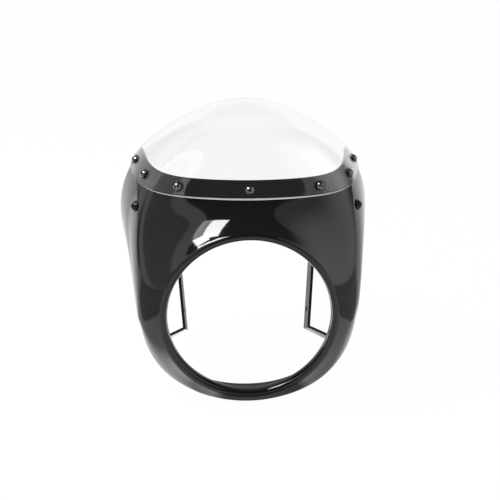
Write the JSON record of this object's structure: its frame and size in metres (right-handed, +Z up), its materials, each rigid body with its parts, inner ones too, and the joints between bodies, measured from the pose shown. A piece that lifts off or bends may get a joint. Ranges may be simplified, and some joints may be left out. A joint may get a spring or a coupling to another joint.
{
  "type": "motorbike headlight cowl",
  "caption": "Small motorbike cowl: a gloss moulded shell round the headlight, a clear screen screwed to its top edge, and two bent steel straps that hold it to the fork.",
  "frame": {"origin": "centre of the round headlight opening, in the plane of the front lip", "axes": "+X to the viewer's right seen from the front, +Y back towards the rider, +Z up; the cowl stands as it does on the bike"},
  "size_m": [0.2882, 0.1509, 0.3192],
  "materials": {
    "moulded_shell": "deep gloss black, moulded ABS",
    "clear_screen": "clear blown acrylic, polished edges",
    "black_fasteners": "black oxide steel, domed socket heads",
    "black_washers": "black nylon washers",
    "plated_steel": "zinc plated steel",
    "strap_steel": "dark grey satin coated steel strap",
    "rubber_pads": "black rubber pads"
  },
  "bodies": {
    "root": {"cowl_shell": "moulded_shell", "screen": "clear_screen", "screen_screws": "black_fasteners", "screen_washers": "black_washers", "screen_backing_washers": "plated_steel", "screen_nuts": "plated_steel", "left_bracket": "strap_steel", "right_bracket": "strap_steel", "bracket_bolts": "black_fasteners", "bracket_bolt_washers": "black_washers", "bracket_pads": "rubber_pads", "bracket_nuts": "plated_steel"}
  },
  "joints": []
}
